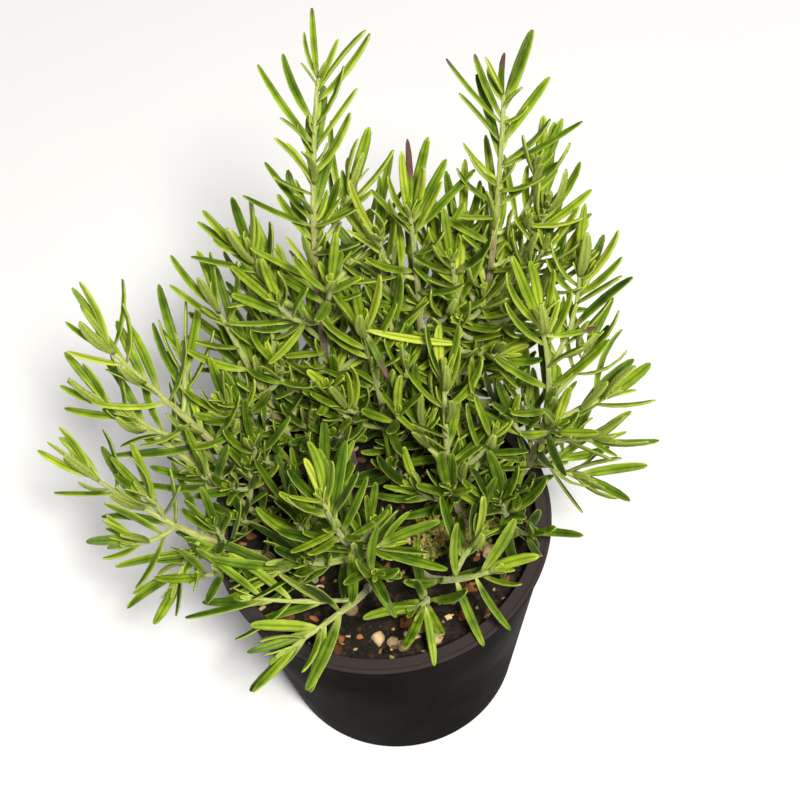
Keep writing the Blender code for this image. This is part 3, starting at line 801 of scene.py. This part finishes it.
for name in stem_names:
    nodes = [n for n in limbs if limbs[n][0] == name]
    source = lines_mesh("stem_lines", [dressed_line(n) for n in nodes])
    piece = grow("stalk_" + name, source, stalks, Spacing=1.8 * MM, Sides=8, Knobbliness=0.5 * MM,
                 Material=bark)
    bpy.data.objects.remove(source)
    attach(piece, "root")

# ---------------------------------------------------------------- leaves
# Each leaf is a leathery needle, green and warty above with a groove down its middle, and rolled under
# along its pale edges onto felt. Leaves stand in opposite pairs, each pair a quarter turn on from the
# last, with small new leaves in many of the axils and a tight bud at nearly every tip.
LEAF_WIDTH = 3.6 * MM
LEAF_THICKNESS = 1.15 * MM
# A leaf's section, as shares of its half width and its thickness, and how much each point is upper skin.
SECTION = [(0.0, 0.10), (0.52, 0.42), (1.0, 0.02), (0.64, -0.48), (0.0, -0.20), (-0.64, -0.48), (-1.0, 0.02),
           (-0.52, 0.42)]
SECTION_FACE = [1.0, 1.0, 0.55, 0.0, 0.0, 0.0, 0.55, 1.0]
# How wide a leaf is up its length, both as shares.
OUTLINE = [(0.0, 0.36), (0.12, 0.66), (0.30, 0.93), (0.54, 1.0), (0.79, 0.87), (0.94, 0.60), (1.0, 0.24)]

pattern = bmesh.new()
layers = {n: pattern.verts.layers.float.new(n) for n in ("along", "across", "face")}
leaf_rings = []
for along, wide in OUTLINE:
    ring = []
    for (across, high), face in zip(SECTION, SECTION_FACE):
        deep = high * (0.45 + 0.55 * wide)
        v = pattern.verts.new((across * wide / 2, along, deep))
        v[layers["along"]], v[layers["across"]], v[layers["face"]] = along, across, face
        ring.append(v)
    leaf_rings.append(ring)
for low, high in zip(leaf_rings, leaf_rings[1:]):
    for k in range(len(SECTION)):
        following = (k + 1) % len(SECTION)
        pattern.faces.new([low[k], low[following], high[following], high[k]])
pattern.faces.new(leaf_rings[0][::-1])
pattern.faces.new(leaf_rings[-1])
bmesh.ops.recalc_face_normals(pattern, faces=pattern.faces)
pattern_mesh = bpy.data.meshes.new("leaf_pattern")
pattern.to_mesh(pattern_mesh)
pattern.free()
pattern_leaf = place_on("leaf_pattern", pattern_mesh)

leaf_skin, tree, shader, place = new_material("rosemary_leaf", Specular_IOR_Level=0.17)
traits = {n: add_node(tree, "ShaderNodeAttribute", attribute_name=n).outputs["Fac"]
          for n in ("along", "across", "face", "tint", "dry")}
vary = ranged(tree, noise_of(tree, place, 130.0, 3.0), 0.3, 0.7, -0.22, 0.22)
# Each leaf's tint attribute holds its own tone plus the painted light and painted shade set in make_leaf.
green = ramp_of(tree, worked_out(tree, "ADD", traits["tint"], vary),
                (0.0, (0.022, 0.052, 0.003)), (0.3, (0.066, 0.130, 0.006)), (0.55, (0.145, 0.240, 0.011)),
                (0.8, (0.25, 0.355, 0.022)), (1.0, (0.38, 0.46, 0.045)))
sideways = add_node(tree, "ShaderNodeMath", {0: traits["across"]}, operation="ABSOLUTE").outputs["Value"]
# Painted shade: the green is darkened along the groove down the middle of the leaf's upper side.
groove_shaded = scaled(tree, green, ranged(tree, sideways, 0.02, 0.34, 0.52, 1.0, smooth=True))
at_edge = ranged(tree, sideways, 0.74, 0.96, 0.0, 0.65, smooth=True)
edged = mixed(tree, at_edge, groove_shaded, (0.46, 0.55, 0.10, 1))
felt = ramp_of(tree, noise_of(tree, place, 1500.0, 3.0),
               (0.3, (0.18, 0.25, 0.035)), (0.7, (0.40, 0.46, 0.11)))
on_rib = ranged(tree, sideways, 0.06, 0.2, 0.9, 0.0)
under = mixed(tree, on_rib, felt, (0.17, 0.25, 0.02, 1))
upward = ranged(tree, traits["face"], 0.18, 0.42)
skin = mixed(tree, upward, under, edged)
at_base = ranged(tree, traits["along"], 0.02, 0.22, 0.75, 0.0)
pale_base = mixed(tree, at_base, skin, (0.44, 0.50, 0.12, 1))
dry_from = worked_out(tree, "SUBTRACT", 1.0, traits["dry"])
dried = ranged(tree, worked_out(tree, "SUBTRACT", traits["along"], dry_from), 0.0, 0.16)
tree.links.new(mixed(tree, dried, pale_base, (0.10, 0.050, 0.042, 1)), shader.inputs["Base Color"])
tree.links.new(ranged(tree, upward, 0.0, 1.0, 0.85, 0.42), shader.inputs["Roughness"])
warts = add_node(tree, "ShaderNodeTexVoronoi", {"Vector": place, "Scale": 2300.0}).outputs["Distance"]
emboss(tree, shader, warts, 0.5, 0.25 * MM)

foliage, inlet, outlet = new_tree("leaves", Leaf="Object", Material="Material")
given = inlet.outputs
pattern_in = add_node(foliage, "GeometryNodeObjectInfo", {"Object": given["Leaf"]})
way, upper, size = [read(foliage, label, "FLOAT_VECTOR") for label in ("way", "upper", "size")]
facing = add_node(foliage, "FunctionNodeAxesToRotation", {"Primary Axis": way, "Secondary Axis": upper},
                  primary_axis="Y", secondary_axis="Z")
grown = add_node(foliage, "GeometryNodeInstanceOnPoints", {
    "Points": given["Geometry"], "Instance": pattern_in.outputs["Geometry"],
    "Rotation": facing.outputs["Rotation"], "Scale": size})
each_leaf = add_node(foliage, "GeometryNodeRealizeInstances", {"Geometry": grown.outputs["Instances"]})
along = read(foliage, "along")
arch = worked_out(foliage, "MULTIPLY", along, worked_out(foliage, "SUBTRACT", 1.0, along))
hanging = scaled(foliage, upper, worked_out(foliage, "MULTIPLY", arch, read(foliage, "bow")))
flank = joined(foliage, "CROSS_PRODUCT", way, upper)
leaning = scaled(foliage, flank, worked_out(foliage, "MULTIPLY", arch, read(foliage, "sway")))
bent = pushed(foliage, each_leaf.outputs["Geometry"], joined(foliage, "ADD", hanging, leaning))
finish_tree(foliage, bent, given["Material"], outlet)

# Points that leaves have taken, in cubic cells, so that a new leaf finds its neighbours quickly.
CELL = 4 * MM
NEIGHBOURS = [(a, b, c) for a in (-1, 0, 1) for b in (-1, 0, 1) for c in (-1, 0, 1)]
taken = {}


def cell_of(place):
    """The cell that a place is in."""
    return tuple(int(c // CELL) for c in place)


def near(place):
    """The taken points in the cells round a place."""
    home = cell_of(place)
    for shift in NEIGHBOURS:
        yield from taken.get(tuple(h + d for h, d in zip(home, shift)), ())


def outer_points(leaf):
    """Points down the outer part of a leaf, where it must keep off the others."""
    points = []
    for k in range(3, 9):
        s = k / 8
        arch = leaf["upper"] * leaf["bow"] * s * (1 - s)
        points.append(leaf["base"] + leaf["way"] * leaf["length"] * s + arch)
    return points


def is_off_pot(leaf):
    """Whether a leaf keeps off the pot and the mix, and below the plant's top."""
    for place in outer_points(leaf):
        across = math.hypot(place.x, place.y)
        if place.z < POT_HEIGHT + 2 * MM and rim_inner - 3 * MM < across < RIM_RADIUS + 2.5 * MM:
            return False
        if place.z < SOIL_TOP + 3 * MM and across < RIM_RADIUS:
            return False
        if place.z < 12 * MM or place.z > plant_top:
            return False
    return True


def is_free(leaf, room):
    """Whether a leaf keeps off every other leaf."""
    return all((other - place).length >= room for place in outer_points(leaf) for other in near(place))


def keep(name, leaf):
    """Adds a leaf to its stem's leaves, and marks its space as taken."""
    leaf_lists[name].append(leaf)
    for place in outer_points(leaf):
        taken.setdefault(cell_of(place), []).append(place)


# Where leaves turn to the light, how high up their colour is painted paler as painted light, and where
# painted shade darkens them inside the plant.
LIGHT = Vector((0.1, -0.25, 1.0)) * 0.8
PAINTED_LIGHT_FROM = 105 * MM
PAINTED_LIGHT_OVER = 120 * MM
PAINTED_SHADE_BELOW = 150 * MM
OPEN_FRONT = -35 * MM


def make_leaf(base, way, along, length, width, bow=0.0, tint=0.5, dry=0.0):
    """A leaf that faces the stem's tip, turned a little to the light.

    It is painted paler the higher it grows, as painted light, and painted darker inside the plant or where it
    hangs, as painted shade.
    """
    way = way.normalized()
    upper = along + LIGHT
    upper = (upper - way * upper.dot(way)).normalized()
    # Painted light: leaves higher up get a paler colour. Painted shade: leaves inside the plant, or hanging
    # down, get a darker one.
    tint += 0.20 * max(0.0, min(1.0, (base.z - PAINTED_LIGHT_FROM) / PAINTED_LIGHT_OVER)) - 0.09
    if math.hypot(base.x, base.y) < RIM_RADIUS and base.z < PAINTED_SHADE_BELOW and base.y > OPEN_FRONT:
        tint -= 0.16
    if way.z < 0.2 and base.z > POT_HEIGHT + 20 * MM:
        tint -= 0.14
    return {"base": base, "way": way, "upper": upper, "length": length, "width": width,
            "bow": bow * length, "sway": chance.gauss(0, 0.10) * length,
            "tint": tint + chance.gauss(0, 0.18), "dry": dry}


def try_leaf(name, base, along, out, lengths, spreads, swing, room, tint=0.5, width=LEAF_WIDTH):
    """Up to six tries at a leaf on one side of a stem, each at another angle and a little shorter."""
    for attempt in range(6):
        turned = Matrix.Rotation(math.radians(chance.uniform(-swing, swing)), 3, along) @ out
        spread = math.radians(chance.uniform(*spreads))
        way = along * math.cos(spread) + turned * math.sin(spread) + Vector((0, 0, 0.35))
        length = chance.uniform(*lengths) * MM * (1 - 0.06 * attempt)
        leaf = make_leaf(base, way, along, length, width * chance.uniform(0.85, 1.12),
                         chance.uniform(-0.45, 0.25), tint)
        if is_off_pot(leaf) and is_free(leaf, room):
            keep(name, leaf)
            return leaf
    return None


def is_crowded(name, place):
    """Whether a place takes extra leaves: nearly all do inside the plant, and few on its open sides."""
    inside = math.hypot(place.x, place.y) < RIM_RADIUS * 0.85 and place.z < 165 * MM and place.y > -36 * MM
    return chance.random() < (1.0 if inside else CROWDING.get(name, 0.9))


# How much of each stem's outer part is crowded with extra leaves, where it isn't nine tenths.
CROWDING = {"bottom": 0.0, "front_low": 0.0, "right_front": 0.15, "small_right": 0.3, "viewer": 0.35,
            "left_low": 0.15, "left_long": 0.12, "left_high": 0.1, "left_mid": 0.15, "left_inner": 0.9,
            "tall_left": 0.8, "tall_right": 0.7, "right": 0.4, "middle": 0.45, "centre_right": 0.45,
            "woody": 0.5, "front_right": 0.6}
# Single leaves that stand out: the stem, how far up it, then the leaf's heading and rise in degrees, its
# length in mm, its width as a share of the usual, and how much of its tip has dried.
STANDING_OUT = [
    ("tall_left", 1.0, 80, 72, 26, 0.75, 0.16), ("tall_left", 0.98, 35, 56, 19, 0.7, 0.0),
    ("tall_left", 0.98, -2, 56, 31, 1.15, 0.0), ("tall_left", 0.96, 12, 50, 31, 1.2, 0.04),
    ("tall_left", 0.88, 136, 54, 33, 0.95, 0.0), ("tall_left", 0.87, 8, 56, 29, 0.95, 0.0),
    ("tall_left", 0.82, 18, 56, 27, 1.25, 0.0), ("tall_left", 0.80, 165, 66, 25, 0.9, 0.0),
    ("tall_left", 0.78, -155, 56, 23, 0.8, 0.0), ("tall_left", 0.72, 144, 56, 28, 0.95, 0.10),
    ("tall_left", 0.71, -35, 48, 27, 1.0, 0.0), ("tall_left", 0.68, 30, 60, 26, 1.1, 0.0),
    ("tall_right", 0.99, 28, 64, 27, 0.9, 0.07), ("tall_right", 0.97, 40, 60, 29, 1.2, 0.07),
    ("tall_right", 0.98, 75, 72, 19, 0.6, 0.40), ("tall_right", 0.95, 132, 66, 26, 0.95, 0.13),
    ("tall_right", 0.94, 156, 57, 32, 0.7, 0.18), ("tall_right", 0.86, 106, 56, 30, 1.0, 0.0),
    ("tall_right", 0.85, -14, 56, 29, 1.15, 0.0), ("tall_right", 0.84, 2, 32, 32, 0.8, 0.0),
    ("tall_right", 0.80, -168, 66, 23, 1.0, 0.0), ("tall_right", 0.76, -178, 60, 25, 0.95, 0.0),
    ("tall_right", 0.79, -38, 46, 25, 0.9, 0.0), ("tall_right", 0.75, 8, 36, 26, 0.9, 0.0),
    ("middle", 1.0, 80, 62, 27, 0.65, 0.6), ("middle", 0.99, 55, 58, 29, 1.0, 0.0),
    ("middle", 0.97, 35, 48, 25, 1.0, 0.0), ("middle", 0.93, 18, 40, 31, 0.9, 0.0),
    ("woody", 0.99, -19, -2, 32, 0.95, 0.0), ("woody", 0.98, -67, -38, 18, 0.8, 0.35),
    ("woody", 0.96, 142, 66, 37, 1.2, 0.0), ("right", 0.97, 122, 62, 31, 1.1, 0.0),
    ("right", 0.94, -8, 15, 18, 0.75, 0.35), ("viewer", 0.86, 60, 56, 31, 1.1, 0.0),
    ("viewer", 0.80, 95, 50, 29, 1.15, 0.0), ("bottom", 0.74, -124, -56, 30, 1.15, 0.0),
    ("bottom", 0.80, -166, 6, 26, 0.95, 0.0), ("right_front", 0.62, -70, -44, 27, 1.0, 0.0),
    ("right_front", 0.84, -56, -42, 24, 0.85, 0.0), ("front_low", 0.80, -88, -38, 23, 0.9, 0.0),
    ("left_high", 0.97, 62, 50, 27, 0.9, 0.12), ("left_high", 0.90, 128, 42, 27, 0.8, 0.1)]
# The tint of the leaf that has gone yellow, at the broken top of the woody stem.
YELLOWED = 1.3
# Stems that lie low or point forwards, whose leaves are raised less.
LOW_STEMS = ("bottom", "front_low", "right_front", "viewer", "small_right")
# Heights above which the tall stems' own leaves give way to the single ones.
CLEARED_ABOVE = {"tall_left": 245 * MM, "tall_right": 244 * MM}

leaf_lists = {name: [] for name in stem_names}
for name, share, heading, rise, length, width, dry in STANDING_OUT:
    line = limbs["stem_" + name][1][1:]
    steps = [(b[0] - a[0]).length for a, b in zip(line, line[1:])]
    ahead, number = share * sum(steps) * 0.999, 0
    while ahead > steps[number]:
        ahead -= steps[number]
        number += 1
    low, high = line[number][0], line[number + 1][0]
    turned, raised = math.radians(heading), math.radians(rise)
    way = Vector((math.cos(turned) * math.cos(raised), math.sin(turned) * math.cos(raised), math.sin(raised)))
    base = low.lerp(high, ahead / steps[number]) + Vector((way.x, way.y, 0)) * MM
    keep(name, make_leaf(base, way, (high - low).normalized(), length * MM, LEAF_WIDTH * width,
                         chance.uniform(-0.3, 0.15), 0.5, dry))
leaf_lists["woody"][0]["tint"] = YELLOWED

# The stems' and side shoots' own leaves: those high up that would point forwards are turned aside.
TURNED_ABOVE = 150 * MM
TURNED_ASIDE = 42
grown_limbs = [node for node in limbs if not node.startswith("twig_")]
for node in grown_limbs:
    name, line, leaves = limbs[node]
    for leaf in leaves:
        way = leaf["tip"] - leaf["base"]
        way += Vector((0, 0, 0.12 if name in LOW_STEMS else 0.34)) * way.length
        forwards = way.y < -0.3 * way.length and abs(way.x) < 0.38 * way.length
        if forwards and leaf["base"].z > TURNED_ABOVE:
            aside = TURNED_ASIDE if (way.x > 0) == (chance.random() < 0.85) else -TURNED_ASIDE
            way.rotate(Matrix.Rotation(math.radians(aside + chance.uniform(-8, 8)), 3, leaf["along"]))
        from_tip = len(line) - 1 - leaf["level"]
        young = max(0.0, 1 - from_tip / 9)
        made = make_leaf(leaf["base"], way, leaf["along"], (leaf["tip"] - leaf["base"]).length,
                         LEAF_WIDTH * chance.uniform(0.82, 1.2), 0, 0.46 + 0.16 * young)
        chord = leaf["base"].lerp(leaf["tip"], 0.46)
        arched = (leaf["middle"] - chord).dot(made["upper"]) * 4
        made["bow"] = arched + chance.uniform(-0.25, 0.15) * way.length
        leaf["grown"] = made
        kept = leaf["base"].z < CLEARED_ABOVE.get(name, 1.0) or not node.startswith("stem_")
        if name in ("bottom", "right_front"):
            made["width"] *= 1.15
            kept = chance.random() < 0.65
        if kept and is_free(made, 1.3 * MM):
            keep(name, made)


def can_reach(leaf, wanted):
    """Whether a leaf may grow to a length: nothing is in its way, and it stays within the plant's width."""
    ahead = outer_points(dict(leaf, length=wanted))[3:]
    if abs(ahead[-1].x) > 100 * MM and leaf["length"] > 16 * MM:
        return False
    for place in ahead:
        for other in near(place):
            beyond = (other - leaf["base"]).dot(leaf["way"]) > leaf["length"] + 1 * MM
            if beyond and (other - place).length <= 1.8 * MM:
                return False
    return True


for node in grown_limbs:
    for leaf in limbs[node][2]:
        made, wanted = leaf["grown"], chance.uniform(24, 31) * MM
        if made["length"] < wanted and can_reach(made, wanted):
            made["length"] = wanted

# More leaves between the pairs, then those of the twigs and of the bare feet, and small ones in the axils.
for node in grown_limbs:
    name, line, leaves = limbs[node]
    places = [place for place, _, _ in line]
    pairs = sorted({leaf["level"] for leaf in leaves})
    for low, high in zip(pairs, pairs[1:]):
        start, end = places[min(low + 1, len(places) - 1)], places[high]
        if (end - start).length < 6 * MM or not is_crowded(name, end):
            continue
        centre = start.lerp(end, chance.uniform(0.42, 0.58))
        along = (end - start).normalized()
        first = next(leaf["grown"]["way"] for leaf in leaves if leaf["level"] == low)
        outward = (first - along * first.dot(along)).normalized()
        outward.rotate(Matrix.Rotation(math.radians(45 + chance.uniform(-12, 12)), 3, along))
        for side in (outward, -outward):
            try_leaf(name, centre + side * 0.7 * MM, along, side, (22, 30), (24, 50), 22, 2.5 * MM)

for node, (name, line, buds) in limbs.items():
    if node.startswith("twig_"):
        for base, along, out, spread in buds:
            try_leaf(name, base, along, out, (17, 27), (spread - 16, spread + 2), 20, 2.5 * MM, 0.48)
for name, feet in bare_feet.items():
    for base, along, out, spread in feet:
        try_leaf(name, base, along, out, (17, 26), (spread - 10, spread + 10), 30, 2.4 * MM, 0.40)

for node in grown_limbs:
    name, line, leaves = limbs[node]
    for leaf in leaves:
        along, way = leaf["along"], leaf["grown"]["way"]
        outward = (way - along * way.dot(along)).normalized()
        if is_crowded(name, leaf["base"]):
            base = leaf["base"] + along * chance.uniform(0.8, 3.0) * MM - outward * 0.4 * MM
            try_leaf(name, base, along, outward, (10, 21), (16, 55), 50, 2.4 * MM, 0.60, 2.7 * MM)

# Each tip below the two tallest has a tight bud of four young leaves.
BUDS_BELOW = 275 * MM
for node, (name, line, _) in limbs.items():
    tip, along = line[-1][0], (line[-1][0] - line[-2][0]).normalized()
    if tip.z > BUDS_BELOW:
        continue
    side = along.orthogonal().normalized()
    for number in range(4):
        out = Matrix.Rotation(number * 1.57 + 0.4, 3, along) @ side
        way = along + out * (0.16 + 0.14 * (number // 2))
        length = (7 + 3.5 * (number // 2)) * MM
        bud = make_leaf(tip - along * 0.6 * MM + out * 0.25 * MM, way, -out, length, 2.2 * MM, 0.1, 0.68)
        bud["upper"] = (-out - bud["way"] * -out.dot(bud["way"])).normalized()
        leaf_lists[name].append(bud)


def leaves_mesh(name, leaves):
    """One point for each leaf, at its base, with its direction, size, bend and colour as attributes."""
    mesh = bpy.data.meshes.new(name)
    mesh.from_pydata([tuple(leaf["base"]) for leaf in leaves], [], [])
    for label in ("way", "upper"):
        values = mesh.attributes.new(label, "FLOAT_VECTOR", "POINT")
        values.data.foreach_set("vector", [c for leaf in leaves for c in leaf[label]])
    sizes = mesh.attributes.new("size", "FLOAT_VECTOR", "POINT")
    sizes.data.foreach_set("vector", [c for leaf in leaves for c in (
        leaf["width"], leaf["length"], LEAF_THICKNESS * (0.35 + 0.65 * leaf["width"] / LEAF_WIDTH))])
    for label in ("bow", "sway", "tint", "dry"):
        values = mesh.attributes.new(label, "FLOAT", "POINT")
        values.data.foreach_set("value", [leaf[label] for leaf in leaves])
    return place_on(name, mesh)


for name in stem_names:
    source = leaves_mesh("leaf_places", leaf_lists[name])
    piece = grow("leaves_" + name, source, foliage, Leaf=pattern_leaf, Material=leaf_skin)
    bpy.data.objects.remove(source)
    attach(piece, "root")
    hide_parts(*[n for n in grown_limbs if limbs[n][0] == name])
bpy.data.objects.remove(pattern_leaf)
